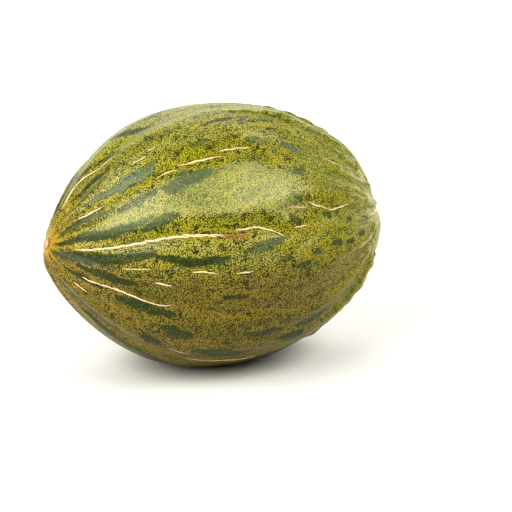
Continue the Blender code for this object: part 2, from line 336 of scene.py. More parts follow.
rind_faces = [face[::-1] for face in ball_faces(ROWS - 1, COLUMNS)]
rind = new_mesh("melon_rind", skin(grid_latitude, grid_longitude), rind_faces)

# Dark blotches: each is a line of points, as latitude, longitude and half width in millimetres
BLOTCHES = (
    ((60.5, 38.8, 3.6), (64, 40, 5.2), (69, 41.5, 4.8), (74.6, 42.5, 2.6)),
    ((43, 51.2, 3.0), (47.7, 52, 5.2), (51, 52.5, 5.8), (55.4, 53.6, 4.4)),
    ((31, 53.5, 1.2), (37.4, 51.5, 2.4), (44, 50.5, 2.0)),
    ((42, 34.2, 1.8), (48.4, 36.5, 3.2), (55.4, 39, 1.6)),
    ((50, 20, 1.6), (55.7, 23.5, 3.6), (59, 25, 3.2), (62, 26, 1.4)),
    ((8, 21, 0.6), (12.2, 27, 1.2), (18.2, 36, 1.8), (23.7, 38, 2.2), (29, 37.5, 2.4),
     (34, 36.5, 1.6), (38, 36.5, 0.8)),
    ((8, 8, 0.6), (12, 10, 1.2), (16.7, 13, 2.0), (22, 16, 2.5), (27, 18, 2.8), (32.5, 18.5, 3.0),
     (37.4, 19.2, 2.8), (44.4, 22, 2.8), (49, 24, 2.0), (53, 26, 1.0)),
    ((8, -17, 0.6), (12, -14, 1.8), (16.7, -10, 2.8), (24, -4.5, 3.8), (31, -1.5, 4.2),
     (37, -0.5, 4.2), (42.4, 1.5, 3.6), (48, 4.5, 2.8), (54, 7, 1.4)),
    ((22, 108, 0.8), (27.7, 105, 1.8), (32.5, 97, 1.8), (38, 92, 0.8)),
    ((55, 5.5, 1.6), (60, 4.5, 2.2), (66, 3.5, 2.6), (72.4, 4.5, 2.0), (77, 5.5, 1.0)),
    ((82.5, 7, 1.2), (87.6, 8, 2.4), (92.4, 9, 2.8), (97, 10.2, 1.6)),
    ((50.7, 104, 1.4), (53.9, 95.5, 2.6), (58.9, 90, 2.8), (65.2, 84.5, 1.4)),
    ((68.4, 85.5, 1.6), (73.1, 84, 2.4), (77.6, 83, 1.2)),
    ((72.4, 58.3, 1.4), (75.4, 59, 2.2), (78.6, 59, 1.2)),
    ((92.4, 57, 1.4), (95.4, 56.5, 2.2), (97.6, 56.5, 1.2)),
    ((107, 53, 2.0), (110.1, 51, 2.8), (113.3, 49.5, 1.6)),
    ((99, 69.5, 1.2), (104.5, 69, 1.6)), ((81, 70, 1.2), (87, 71, 2.0), (92, 72, 1.2)),
    ((41.4, 88.5, 1.4), (45.4, 84, 2.4), (49.2, 81.5, 1.2)), ((106.5, 38.5, 1.6), (110.4, 38.5, 1.6)),
    ((28, 62, 1.4), (34, 64, 2.2), (40, 66, 1.2)), ((24, 76, 1.0), (32, 73, 2.0), (41, 71, 1.2)),
    ((117.5, 18.2, 1.4), (120.5, 17, 1.8)), ((129.8, 13.4, 1.2), (132.8, 12.6, 1.6)),
    ((145, 10, 1.4), (148, 9, 1.4)), ((119.6, 3.2, 1.4), (124, 2.2, 2.0)),
    ((129, 0.6, 1.4), (133, -0.2, 1.8)), ((138.6, 1.2, 1.4), (142.4, 0.2, 1.8)),
    ((109.6, 2.0, 1.4), (112.4, 1.4, 1.6)), ((101, 19, 1.4), (104.5, 16.2, 2.2)),
    ((27, -14.5, 1.0), (34, -13.5, 2.4), (41, -13, 2.8), (48, -12, 1.4)),
    ((22, -28, 1.0), (30, -26.5, 2.4), (38, -25.5, 1.6)),
    ((44, -26.5, 1.6), (50, -25.5, 3.2), (56, -24.5, 3.2), (62, -24, 1.6)),
    ((76, -12, 1.2), (80, -12, 1.8), (84, -12, 1.0)), ((102, -2.4, 1.2), (107, -2, 1.6)),
)
HIDDEN_BLOTCHES, BLOTCH_LONGITUDES, BLOTCH_SEED = 52, (98.0, 338.0), 12
BLOTCH_STEPS = np.array((0, 0.35, 0.7, 1))    # places along a blotch, as shares of its length
BLOTCH_PROFILE = np.array((0.3, 1, 0.85, 0.3))    # and how wide it is there
BLOTCH_TURN = 0.618    # share of the span from one blotch to the next, so that they never line up


def drawn_blotches():
    """Blotches of the sides that BLOTCHES doesn't cover: short runs along the meridians."""
    draw = np.random.default_rng(BLOTCH_SEED)
    first, last = BLOTCH_LONGITUDES
    blotches = []
    for number in range(HIDDEN_BLOTCHES):
        longitude = first + (last - first) * (number * BLOTCH_TURN % 1) + draw.uniform(-4, 4)
        latitude = draw.uniform(9, 125)
        length = draw.uniform(5, 18) * (1.5 if latitude < 45 else 1)
        half_width = draw.uniform(1.8, 5.0)
        latitudes = latitude + length * BLOTCH_STEPS
        longitudes = longitude + np.cumsum(draw.uniform(-1.8, 1.8, len(BLOTCH_STEPS)))
        blotches.append(tuple(zip(latitudes, longitudes, half_width * BLOTCH_PROFILE)))
    return blotches


blotch = np.zeros(len(grid_latitude))
for line in BLOTCHES + tuple(drawn_blotches()):
    reach, _ = reach_of_line(line, grid_latitude, grid_longitude)
    blotch = np.maximum(blotch, np.exp(-0.7 * reach ** 2))
add_attribute(rind, "blotch", blotch)

# The rest of what the material reads at each vertex. Pale waxy bloom with painted sheen also lies in
# bands beside the cracks, given as lines like the blotches; the bands are a painted reflection of the
# lamps on the lobes' flanks
SHEEN_BANDS = (
    ((20, 2.5, 1.0), (30, 5, 1.8), (38, 7, 2.2), (46, 9.5, 2.6), (54, 11, 3.4), (60, 11, 4.4),
     (68, 10.5, 5.4), (76, 10, 6.0), (84, 10.5, 5.6), (92, 12, 4.4), (100, 10, 2.4)),
    ((14, 52, 1.0), (24, 52, 2.0), (34, 57, 2.6), (44, 57, 2.8), (54, 58, 2.4), (64, 57, 1.6)),
    ((22, 25, 1.6), (32, 24, 3.0), (42, 29, 4.0), (52, 32, 4.4), (62, 33, 4.4)),
    ((100, 4.5, 1.4), (107, 6.5, 2.4), (111, 7.5, 2.4), (116, 8.5, 1.4)),
)
CREASE_WIDTH, SHEEN_BLOOM_START, SHEEN_BLOOM_FULL = 3.0, 5.0, 17.0    # millimetres from a crease
HIGHLIGHT_LONGITUDE = 34.0

# The skin is golden in the creases between the lobes
share = lobe_share(grid_latitude, grid_longitude)
lobe_width = 360 / LOBE_COUNT * LONGITUDE_DEGREE * np.sin(np.radians(grid_latitude))
from_crease = np.minimum(share, 1 - share) * lobe_width
crease = np.exp(-((from_crease / CREASE_WIDTH) ** 2)) * smoothstep(2, 14, grid_latitude)
add_attribute(rind, "crease", crease)

# Pale wax bloom and painted sheen lie on the middle of each lobe, most as a painted highlight on the
# upper front, and in the bands
bloom_and_sheen = smoothstep(SHEEN_BLOOM_START, SHEEN_BLOOM_FULL, from_crease)
bloom_and_sheen *= smoothstep(15, 45, grid_latitude) * (1 - smoothstep(92, 125, grid_latitude))
from_highlight_middle = np.abs(np.mod(grid_longitude - HIGHLIGHT_LONGITUDE + 180, 360) - 180)
bloom_and_sheen *= 1 - 0.8 * smoothstep(16, 38, from_highlight_middle)
for line in SHEEN_BANDS:
    reach, _ = reach_of_line(line, grid_latitude, grid_longitude)
    bloom_and_sheen = np.maximum(bloom_and_sheen, 0.5 * np.exp(-reach ** 2))
add_attribute(rind, "bloom_and_sheen", bloom_and_sheen)

# A blotch is slate instead of deep green on the upper front, at one place beside the long crack, and
# where bloom lies over it: this slate is painted sheen on the blotches
slate_sheen = smoothstep(16, 26, grid_longitude) * (1 - smoothstep(58, 75, grid_longitude))
slate_sheen *= smoothstep(6, 36, grid_latitude)
slate_sheen = np.maximum(slate_sheen, bump(90, 9, 7, grid_latitude, grid_longitude))
slate_sheen = np.maximum(bloom_and_sheen * smoothstep(6, 18, grid_longitude), 0.85 * slate_sheen)
add_attribute(rind, "slate_sheen", slate_sheen)

# The underside is browner and darker, less so by the stem: painted shade and warm bounced light of
# the low side, over the rind's own ground spot. The blossom half is more golden, its tip glows, and
# the stem half is paler
underside_shade = 1 - smoothstep(-0.15, 0.15, np.sin(np.radians(grid_longitude)))
underside_shade *= 1 - 0.4 * smoothstep(100, 135, grid_latitude)
add_attribute(rind, "underside_shade", underside_shade)
add_attribute(rind, "golden", 0.5 * (1 - smoothstep(12, 52, grid_latitude)))
add_attribute(rind, "blossom_glow", np.exp(-((grid_latitude / 12) ** 2)))
add_attribute(rind, "stem_half", 0.7 * smoothstep(95, 135, grid_latitude))

# Crests that get scuffed and carry painted sheen: those of the finer wrinkles, the ridges, and all of
# the stem end
wrinkle_families = WRINKLES[1:] + FINE_WRINKLES[:2]
crest_sheen = folds(wrinkle_families, wrinkle_path(grid_latitude, grid_longitude)) / MM
crest_sheen = 0.7 * smoothstep(0.15, 1.2, crest_sheen) * smoothstep(92, 150, grid_latitude)
ridge = ridge_relief(grid_latitude, grid_longitude) / MM
crest_sheen = np.maximum(crest_sheen, 0.86 * smoothstep(0.3, 2.6, ridge))
crest_sheen = np.maximum(crest_sheen, 0.95 * smoothstep(136, 164, grid_latitude))
add_attribute(rind, "crest_sheen_and_scuff", crest_sheen)

# Streaks read a place in millimetres, round a drum of the fruit's girth, drawn out sevenfold along it
STREAK_STEP, STREAK_RADIUS = 2.15 / 7, 90.0
turn = np.radians(wrinkle_path(grid_latitude, grid_longitude))
streak_place = (STREAK_STEP * grid_latitude, STREAK_RADIUS * np.cos(turn), STREAK_RADIUS * np.sin(turn))
add_attribute(rind, "streak_place", np.stack(streak_place, -1))


def linear(hex_colour):
    """A colour given as sRGB hex, turned to the linear values that shaders read."""
    values = np.array([int(hex_colour[i:i + 2], 16) / 255 for i in (1, 3, 5)])
    values = np.where(values <= 0.04045, values / 12.92, ((values + 0.055) / 1.055) ** 2.4)
    return (*values.tolist(), 1.0)


def node(material, kind, inputs=None, **settings):
    """Add a node with its settings; each input is a constant or the output socket it is linked to."""
    tree = material.node_tree
    made = tree.nodes.new(kind)
    for name, value in settings.items():
        setattr(made, name, value)
    for key, value in (inputs or {}).items():
        if isinstance(value, bpy.types.NodeSocket):
            tree.links.new(value, made.inputs[key])
        else:
            made.inputs[key].default_value = value
    return made


def new_material(name):
    """A material with nodes, and its Principled shader."""
    material = bpy.data.materials.new(name)
    material.use_nodes = True
    return material, material.node_tree.nodes["Principled BSDF"]


# Melon rind is a waxy cuticle over a green flesh layer, satin with a broad soft gloss. Round yellow
# specks over a dark green ground give it its grain. The real ones are finer, and are drawn 0.84 mm
# apart because finer ones would melt into one olive. They thin out in the blotches.
SPECK_SPACING, CLUSTER_SIZE = 0.84 * MM, 5.0 * MM
STREAK_WIDTH, PATCH_WIDTH = 6.0, 26.0    # millimetres, as the streak places are
waxy_rind, shader = new_material("waxy_green_rind")
place = node(waxy_rind, "ShaderNodeTexCoord").outputs["Object"]
streaks_at = node(waxy_rind, "ShaderNodeAttribute", attribute_name="streak_place").outputs["Vector"]
blotch_at, bloom_and_sheen_at, slate_sheen_at, crease_at, underside_shade_at, golden_at, glow_at, stem_half_at, crest_sheen_at = (
    node(waxy_rind, "ShaderNodeAttribute", attribute_name=name).outputs["Fac"]
    for name in ("blotch", "bloom_and_sheen", "slate_sheen", "crease", "underside_shade", "golden", "blossom_glow",
                 "stem_half", "crest_sheen_and_scuff"))

# Four patterns: round specks, high in their middle, clusters of them, and streaks and broad patches
# that are drawn out along the fruit
from_speck = node(waxy_rind, "ShaderNodeTexVoronoi", {
    "Vector": place, "Scale": 1 / SPECK_SPACING}).outputs["Distance"]
specks = node(waxy_rind, "ShaderNodeMath", {
    0: from_speck, 1: -0.65, 2: 0.86}, operation="MULTIPLY_ADD").outputs[0]
clusters = node(waxy_rind, "ShaderNodeTexNoise", {
    "Vector": place, "Scale": 1 / CLUSTER_SIZE, "Detail": 2.0, "Roughness": 0.55}).outputs["Fac"]
streaks = node(waxy_rind, "ShaderNodeTexNoise", {
    "Vector": streaks_at, "Scale": 1 / STREAK_WIDTH, "Detail": 2.0, "Roughness": 0.5}).outputs["Fac"]
patches = node(waxy_rind, "ShaderNodeTexNoise", {
    "Vector": streaks_at, "Scale": 1 / PATCH_WIDTH, "Detail": 2.0}).outputs["Fac"]

# Blotches have ragged edges: the specks and their clusters eat into them
ragged = blotch_at
for pattern, weight in ((clusters, 1.8), (specks, 1.2)):
    ragged = node(waxy_rind, "ShaderNodeMath", {
        0: pattern, 1: weight, 2: ragged}, operation="MULTIPLY_ADD").outputs[0]
blotch_full = node(waxy_rind, "ShaderNodeMapRange", {
    "Value": ragged, "From Min": 1.93, "From Max": 2.12}, interpolation_type="SMOOTHSTEP").outputs[0]

# How much of the ground the specks cover: more in streaks, less in small dark clumps, a little more
# in the creases, and little in a blotch, where a slate one, with its painted sheen, keeps some
off_clump = node(waxy_rind, "ShaderNodeMapRange", {
    "Value": clusters, "From Min": 0.35, "From Max": 0.43}, interpolation_type="SMOOTHSTEP").outputs[0]
slate_sheen_blotch = node(waxy_rind, "ShaderNodeMath", {
    0: blotch_full, 1: slate_sheen_at}, operation="MULTIPLY").outputs[0]
cover = specks
for pattern, weight in (
        (streaks, 0.30), (off_clump, 0.10), (crease_at, 0.02), (blotch_full, -0.17), (slate_sheen_blotch, 0.04)):
    cover = node(waxy_rind, "ShaderNodeMath", {
        0: pattern, 1: weight, 2: cover}, operation="MULTIPLY_ADD").outputs[0]
speck_mask = node(waxy_rind, "ShaderNodeMapRange", {
    "Value": cover, "From Min": 0.70, "From Max": 0.88}, interpolation_type="SMOOTHSTEP").outputs[0]

# How brown and shaded the underside is, in streaks, and how far bloom and painted sheen hide the
# ground and, sooner, the specks
brown_shade_edge = node(waxy_rind, "ShaderNodeMath", {
    0: streaks, 1: 1.6, 2: underside_shade_at}, operation="MULTIPLY_ADD").outputs[0]
brown_shade = node(waxy_rind, "ShaderNodeMapRange", {
    "Value": brown_shade_edge, "From Min": 0.85, "From Max": 2.0, "To Max": 0.85},
    interpolation_type="SMOOTHSTEP").outputs[0]
bloom_and_sheen_edge = node(waxy_rind, "ShaderNodeMath", {0: bloom_and_sheen_at, 1: patches}, operation="MULTIPLY").outputs[0]
ground_bloom_and_sheen, speck_bloom_and_sheen = (
    node(waxy_rind, "ShaderNodeMapRange", {
        "Value": bloom_and_sheen_edge, "From Min": low, "From Max": high}, interpolation_type="SMOOTHSTEP").outputs[0]
    for low, high in ((0.2, 0.48), (0.05, 0.3)))

# The ground is dark green, darkest in the clumps, lighter by the stem, brown with painted shade
# underneath, warm by the blossom end, and pale under the bloom and painted sheen; a blotch is deep
# green, or slate in patches where painted sheen lies on it
ground = node(waxy_rind, "ShaderNodeMix", {
    0: off_clump, 6: linear("#28340a"), 7: linear("#474e12")}, data_type="RGBA").outputs[2]
for amount, tone in (
        (stem_half_at, "#5c641e"), (brown_shade, "#382e0a"), (golden_at, "#443a0a"), (ground_bloom_and_sheen, "#757d4e")):
    ground = node(waxy_rind, "ShaderNodeMix", {
        0: amount, 6: ground, 7: linear(tone)}, data_type="RGBA").outputs[2]
slate_sheen_patch = node(waxy_rind, "ShaderNodeMath", {
    0: patches, 1: 2.0, 2: slate_sheen_at}, operation="MULTIPLY_ADD").outputs[0]
slate_sheen_patch = node(waxy_rind, "ShaderNodeMath", {
    0: slate_sheen_patch, 1: 1.0}, operation="SUBTRACT", use_clamp=True).outputs[0]
blotch_colour = node(waxy_rind, "ShaderNodeMix", {
    0: slate_sheen_patch, 6: linear("#2c3c10"), 7: linear("#5d694b")}, data_type="RGBA").outputs[2]
ground = node(waxy_rind, "ShaderNodeMix", {
    0: blotch_full, 6: ground, 7: blotch_colour}, data_type="RGBA").outputs[2]

# The specks are yellow, paler under the bloom and painted sheen, deeper in the creases, golden by the
# blossom end, and brown with painted shade underneath
in_crease = node(waxy_rind, "ShaderNodeMath", {0: crease_at, 1: streaks}, operation="MULTIPLY").outputs[0]
speck_colour = node(waxy_rind, "ShaderNodeMix", {
    0: speck_bloom_and_sheen, 6: linear("#aca532"), 7: linear("#b6ae60")}, data_type="RGBA").outputs[2]
for amount, tone in ((in_crease, "#ae9c2a"), (golden_at, "#b8982e"), (brown_shade, "#94802c")):
    speck_colour = node(waxy_rind, "ShaderNodeMix", {
        0: amount, 6: speck_colour, 7: linear(tone)}, data_type="RGBA").outputs[2]
colour = node(waxy_rind, "ShaderNodeMix", {
    0: speck_mask, 6: ground, 7: speck_colour}, data_type="RGBA").outputs[2]

# The tip of the blossom end glows golden in rays
glow_edge = node(waxy_rind, "ShaderNodeMath", {
    0: streaks, 1: 2.2, 2: glow_at}, operation="MULTIPLY_ADD").outputs[0]
glow = node(waxy_rind, "ShaderNodeMapRange", {
    "Value": glow_edge, "From Min": 1.5, "From Max": 2.05}, interpolation_type="SMOOTHSTEP").outputs[0]
colour = node(waxy_rind, "ShaderNodeMix", {
    0: glow, 6: colour, 7: linear("#b48c18")}, data_type="RGBA").outputs[2]

# The crests are scuffed unevenly and painted with sheen: a grey-green painted sheen or tan scuffs in
# patches, and a pale straw colour by the stem that is partly painted sheen
uneven_crest_sheen = node(waxy_rind, "ShaderNodeMath", {0: streaks, 1: clusters}, operation="ADD").outputs[0]
uneven_crest_sheen = node(waxy_rind, "ShaderNodeMath", {
    0: crest_sheen_at, 1: uneven_crest_sheen}, operation="MULTIPLY").outputs[0]
sheen_and_scuff = node(waxy_rind, "ShaderNodeMapRange", {
    "Value": uneven_crest_sheen, "From Min": 0.42, "From Max": 0.96, "To Max": 0.7},
    interpolation_type="SMOOTHSTEP").outputs[0]
tan_share = node(waxy_rind, "ShaderNodeMapRange", {
    "Value": patches, "From Min": 0.45, "From Max": 0.6}).outputs[0]
sheen_and_scuff_colour = node(waxy_rind, "ShaderNodeMix", {
    0: tan_share, 6: linear("#a6a873"), 7: linear("#b0945c")}, data_type="RGBA").outputs[2]
sheen_and_scuff_colour = node(waxy_rind, "ShaderNodeMix", {
    0: stem_half_at, 6: sheen_and_scuff_colour, 7: linear("#c2ba86")}, data_type="RGBA").outputs[2]
colour = node(waxy_rind, "ShaderNodeMix", {
    0: sheen_and_scuff, 6: colour, 7: sheen_and_scuff_colour}, data_type="RGBA").outputs[2]
waxy_rind.node_tree.links.new(colour, shader.inputs["Base Color"])

# The wax is satin and unevenly so. Specks and clusters stand up a little, and the skin is puckered in
# streaks by the stem
roughness = node(waxy_rind, "ShaderNodeMapRange", {
    "Value": clusters, "From Min": 0.3, "From Max": 0.7, "To Min": 0.29, "To Max": 0.40}).outputs[0]
waxy_rind.node_tree.links.new(roughness, shader.inputs["Roughness"])
shader.inputs["IOR"].default_value = 1.45
shader.inputs["Specular IOR Level"].default_value = 0.4
puckers = node(waxy_rind, "ShaderNodeMath", {0: streaks, 1: stem_half_at}, operation="MULTIPLY").outputs[0]
surface = node(waxy_rind, "ShaderNodeBump", {
    "Strength": 0.35, "Distance": 0.25 * MM, "Height": specks}).outputs["Normal"]
for pattern, strength, depth in ((clusters, 0.5, 0.9 * MM), (puckers, 0.6, 5.0 * MM)):
    surface = node(waxy_rind, "ShaderNodeBump", {
        "Strength": strength, "Distance": depth, "Height": pattern, "Normal": surface}).outputs["Normal"]
waxy_rind.node_tree.links.new(surface, shader.inputs["Normal"])
rind.data.materials.append(waxy_rind)
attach(rind, "root")
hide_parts("melon")

# ---------------------------------------------------------------------------------------------
# Cork cracks: where the skin tears as the fruit swells, it heals with a raised cream cork. Each
# crack is a row of short overlapping tears along a meridian, fine at both ends, about 1 mm wide, the
# longest 1.6 mm. The cork has grown into the rind, so its root lies in the skin.
# ---------------------------------------------------------------------------------------------

# Points along each crack as (latitude, longitude), and its greatest half width in millimetres
FRONT_CRACKS = (
    (((23.2, 3), (30.7, 6), (37.7, 8.5), (43.4, 10.5), (48.7, 12.5), (54.7, 14.5), (60.7, 15.5),
     (69.4, 15), (78.4, 14.5), (86, 14.4)), 0.82),
    (((79.5, 15.8), (84, 16.4), (89, 16.6)), 0.6),
    (((86.5, 16.8), (93, 14.5), (98, 11.5)), 0.55),
    (((56, 46), (58, 47), (65, 47.5)), 0.50),
    (((64.5, 49.5), (72.5, 49.5), (81, 50)), 0.65),
    (((81, 52), (86.5, 52.5), (92.5, 52.5)), 0.50),
    (((18, 91), (25, 93), (34, 89), (40, 82), (46, 79)), 0.50),
    (((24, 42), (30, 42), (36, 43.5)), 0.60),
    (((50.5, 61), (56, 62)), 0.45),
    (((57, 65), (60.5, 65)), 0.45),
    (((100, 23), (109, 22)), 0.40),
    (((109.5, 24), (115, 22), (121, 20.4)), 0.55),
    (((120.5, 19.4), (127, 20), (134.5, 21.8)), 0.5),
    (((124, 47.5), (131, 45.5)), 0.45),
    (((102, 14), (108, 14.5)), 0.45),
    (((30.5, -26), (37, -23.5), (43.5, -21), (50, -21), (61, -18.5)), 0.65),
    (((43.5, -4.5), (53, -1)), 0.40),
    (((65.5, -1), (69, -0.5), (73.5, -1.5)), 0.50),
    (((79.5, -1.5), (85.5, -1)), 0.45),
    (((54.5, -8), (60, -8.5)), 0.55),
)
BACK_CRACKS, BACK_LONGITUDES = 13, (108.0, 246.0)
LOW_CRACKS, LOW_LONGITUDES = 3, (-62.0, -36.0)
CRACK_SEED, TEAR_SEED = 7, 31
STATION_STEP = 7.0           # degrees between the points of a drawn crack
SHORT_HALF_WIDTH = 0.45      # millimetres, of a short drawn crack,
LONG_HALF_WIDTH = 0.62       # and of a long one
TEAR_LENGTH = 15.0           # millimetres
TEAR_OVERLAP = 6.0
TEAR_SLANT = -1.9            # how far a tear crosses the crack's line, over its half width
CORK_HEIGHT = 0.45 * MM      # what cork of the usual half width stands above the skin
USUAL_HALF_WIDTH = 0.65
CORK_ROOT = 0.9 * MM         # how deep all cork goes below the skin
BROWNED_HALF_WIDTH = 0.8     # only a crack that is wider is browned, near its end
TEAR_STATIONS = 46           # rings along a tear,
TEAR_SIDES = 10              # and points round each


def drawn_cracks():
    """Cracks of the back and the low front, where the solid model has them. Every third is a long one."""
    draw = np.random.default_rng(CRACK_SEED)
    cracks = []
    for count, (first, last) in ((BACK_CRACKS, BACK_LONGITUDES), (LOW_CRACKS, LOW_LONGITUDES)):
        for number in range(count):
            longitude = first + (last - first) * (number + draw.uniform(0.25, 0.75)) / count
            start = draw.uniform(26, 96)
            length = draw.uniform(7, 15) if number % 3 else draw.uniform(22, 42)
            stations = np.arange(start, start + length + 1, STATION_STEP)
            drift = np.cumsum(draw.uniform(-1.6, 1.6, len(stations)))
            half_width = SHORT_HALF_WIDTH if number % 3 else LONG_HALF_WIDTH
            cracks.append((tuple(zip(stations, longitude + drift)), half_width))
    return cracks


def smooth_noise(draw, count, knots):
    """A smooth random line between -1 and 1, from a few random knots."""
    at = np.linspace(0, knots - 1, count)
    values = draw.uniform(-1, 1, knots + 1)
    before = np.floor(at).astype(int)
    share = smoothstep(0, 1, at - before)
    return values[before] * (1 - share) + values[before + 1] * share


def tear(draw, latitudes, longitudes, half_width, slant):
    """One tear: rings of points along a line, wide in the middle, closed by a point at each end.

    Its width is a sine to the power of 0.6, made uneven by noise. The upper half of a ring stands above
    the skin as a low arch and the lower half lies in it. Returns the points, and for each how far it is
    from the middle line, 0 to 1.
    """
    share = np.linspace(0, 1, TEAR_STATIONS)
    fullness = np.sin(np.pi * share) ** 0.6 * (1 + 0.2 * smooth_noise(draw, TEAR_STATIONS, 9))
    wiggle = 0.22 * smooth_noise(draw, TEAR_STATIONS, 7) + slant * (share - 0.5)
    degree = LONGITUDE_DEGREE * np.sin(np.radians(latitudes))
    turn = np.linspace(0, 2 * np.pi, TEAR_SIDES, endpoint=False)
    across = half_width * fullness[:, None] * np.cos(turn)
    across = across * (1 + 0.2 * draw.uniform(-1, 1, (TEAR_STATIONS, TEAR_SIDES)))
    extent = np.where(np.sin(turn) > 0, CORK_HEIGHT * half_width / USUAL_HALF_WIDTH, CORK_ROOT)
    rise = extent * np.sin(turn) * (0.3 + 0.7 * fullness[:, None])
    rise = rise * (1 + 0.25 * draw.uniform(-1, 1, (TEAR_STATIONS, TEAR_SIDES)))
    ring_latitudes = np.repeat(latitudes[:, None], TEAR_SIDES, axis=1)
    ring_longitudes = longitudes[:, None] + (across + wiggle[:, None]) / degree[:, None]
    points = skin(ring_latitudes, ring_longitudes, rise)[1:-1].reshape(-1, 3)
    ends = skin(latitudes[[0, -1]], (longitudes + wiggle / degree)[[0, -1]], -0.1 * MM)
    edge = np.tile(np.abs(np.cos(turn)), TEAR_STATIONS - 2)
    return np.vstack((ends[:1], points, ends[1:])), np.concatenate(([1.0], edge, [1.0]))


draw = np.random.default_rng(TEAR_SEED)
cork_points, cork_faces, cork_edge, cork_tone = [], [], [], []
tear_faces = ball_faces(TEAR_STATIONS - 2, TEAR_SIDES)
for crack_line, half_width in FRONT_CRACKS + tuple(drawn_cracks()):
    latitudes, longitudes = np.array(crack_line, dtype=float).T
    length = (latitudes[-1] - latitudes[0]) * LATITUDE_DEGREE
    tears = max(1, round((length - TEAR_OVERLAP) / (TEAR_LENGTH - TEAR_OVERLAP)))
    step = length / tears
    curve = np.polyfit(latitudes, longitudes, min(5, len(latitudes) - 1))
    for number in range(tears):
        extra = TEAR_OVERLAP / 2 * draw.uniform(0.5, 1.5)
        first = latitudes[0] + max(0, number * step - extra) / LATITUDE_DEGREE
        last = latitudes[0] + min(length, (number + 1) * step + extra) / LATITUDE_DEGREE
        along = np.linspace(first, last, TEAR_STATIONS)
        fullness, slant = 1.0, 0.0
        if tears > 1:
            fullness = 0.62 + 0.38 * np.sin(np.pi * (number + 0.5) / tears)
            slant = TEAR_SLANT * half_width * draw.uniform(0.6, 1.4)
        tear_half_width = half_width * fullness * draw.uniform(0.85, 1.1)
        points, edge = tear(draw, along, np.polyval(curve, along), tear_half_width, slant)
        start = sum(len(part) for part in cork_points)
        cork_faces += [[corner + start for corner in face] for face in tear_faces]
        cork_points.append(points)
        cork_edge.append(edge)
        browned = 0.7 * smoothstep(73, 77, along) * (1 - smoothstep(84, 87, along))
        browned *= half_width > BROWNED_HALF_WIDTH
        tone = np.concatenate((browned[:1], np.repeat(browned[1:-1], TEAR_SIDES), browned[-1:]))
        cork_tone.append(draw.uniform(0, 0.4) + tone)

cork = new_mesh("cork_cracks", np.vstack(cork_points), cork_faces)
add_attribute(cork, "cork_edge", np.concatenate(cork_edge))
add_attribute(cork, "cork_tone", np.concatenate(cork_tone))

# Healed cork is dry and matt, with a fine grain: cream on its crest, browned on one stretch, and tan
# where it meets the rind, partly its own tan margin and partly painted shade along its sides.
CORK_GRAIN = 0.8 * MM
dry_cork, shader = new_material("dry_cream_cork")
place = node(dry_cork, "ShaderNodeTexCoord").outputs["Object"]
grain = node(dry_cork, "ShaderNodeTexNoise", {
    "Vector": place, "Scale": 1 / CORK_GRAIN, "Detail": 3.0}).outputs["Fac"]
edge_at = node(dry_cork, "ShaderNodeAttribute", attribute_name="cork_edge").outputs["Fac"]
tone_at = node(dry_cork, "ShaderNodeAttribute", attribute_name="cork_tone").outputs["Fac"]
edge_rough = node(dry_cork, "ShaderNodeMath", {
    0: grain, 1: 0.7, 2: edge_at}, operation="MULTIPLY_ADD").outputs[0]
edge_shade_mix = node(dry_cork, "ShaderNodeMapRange", {
    "Value": edge_rough, "From Min": 1.0, "From Max": 1.5}, interpolation_type="SMOOTHSTEP").outputs[0]
crest_colour = node(dry_cork, "ShaderNodeMix", {
    0: tone_at, 6: linear("#f7e6c4"), 7: linear("#a8743e")}, data_type="RGBA").outputs[2]
cork_colour = node(dry_cork, "ShaderNodeMix", {
    0: edge_shade_mix, 6: crest_colour, 7: linear("#a8762e")}, data_type="RGBA").outputs[2]
dry_cork.node_tree.links.new(cork_colour, shader.inputs["Base Color"])
shader.inputs["Roughness"].default_value = 0.8
shader.inputs["IOR"].default_value = 1.45
cork_bump = node(dry_cork, "ShaderNodeBump", {
    "Strength": 0.6, "Distance": 0.2 * MM, "Height": grain}).outputs["Normal"]
dry_cork.node_tree.links.new(cork_bump, shader.inputs["Normal"])
cork.data.materials.append(dry_cork)
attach(cork, "root")

# ---------------------------------------------------------------------------------------------
# Blossom scar and stem cut: the dry round scar that the flower leaves at one end, and the short
# stub of the stem in its dimple at the other. Both are dead corky tissue grown into the rind.
# ---------------------------------------------------------------------------------------------

SCAR_RADIUS, SCAR_HEIGHT = 3.8 * MM, 0.7 * MM
STEM_RADIUS, STEM_HEIGHT = 5.5 * MM, 2.4 * MM
BUTTON_ROWS, BUTTON_SIDES, BUTTON_SEED = 22, 48, 5
TOP_SHARE = 0.6              # share of the profile's points that lie on the top, not down the side


def end_place(latitude, spread=4.0):
    """The skin's point at one end of the fruit, its outward direction and two directions across.

    They are read from four points of the skin that lie spread degrees from the end.
    """
    ring = skin(np.full(4, abs(latitude - spread)), np.array([0.0, 90.0, 180.0, 270.0]))
    point = skin(np.array([latitude]), np.array([0.0]))[0]
    across = (ring[0] - ring[2]) / np.linalg.norm(ring[0] - ring[2])
    normal = np.cross(across, ring[1] - ring[3])
    normal *= np.sign(normal @ point) / np.linalg.norm(normal)
    return point, normal, across, np.cross(normal, across)


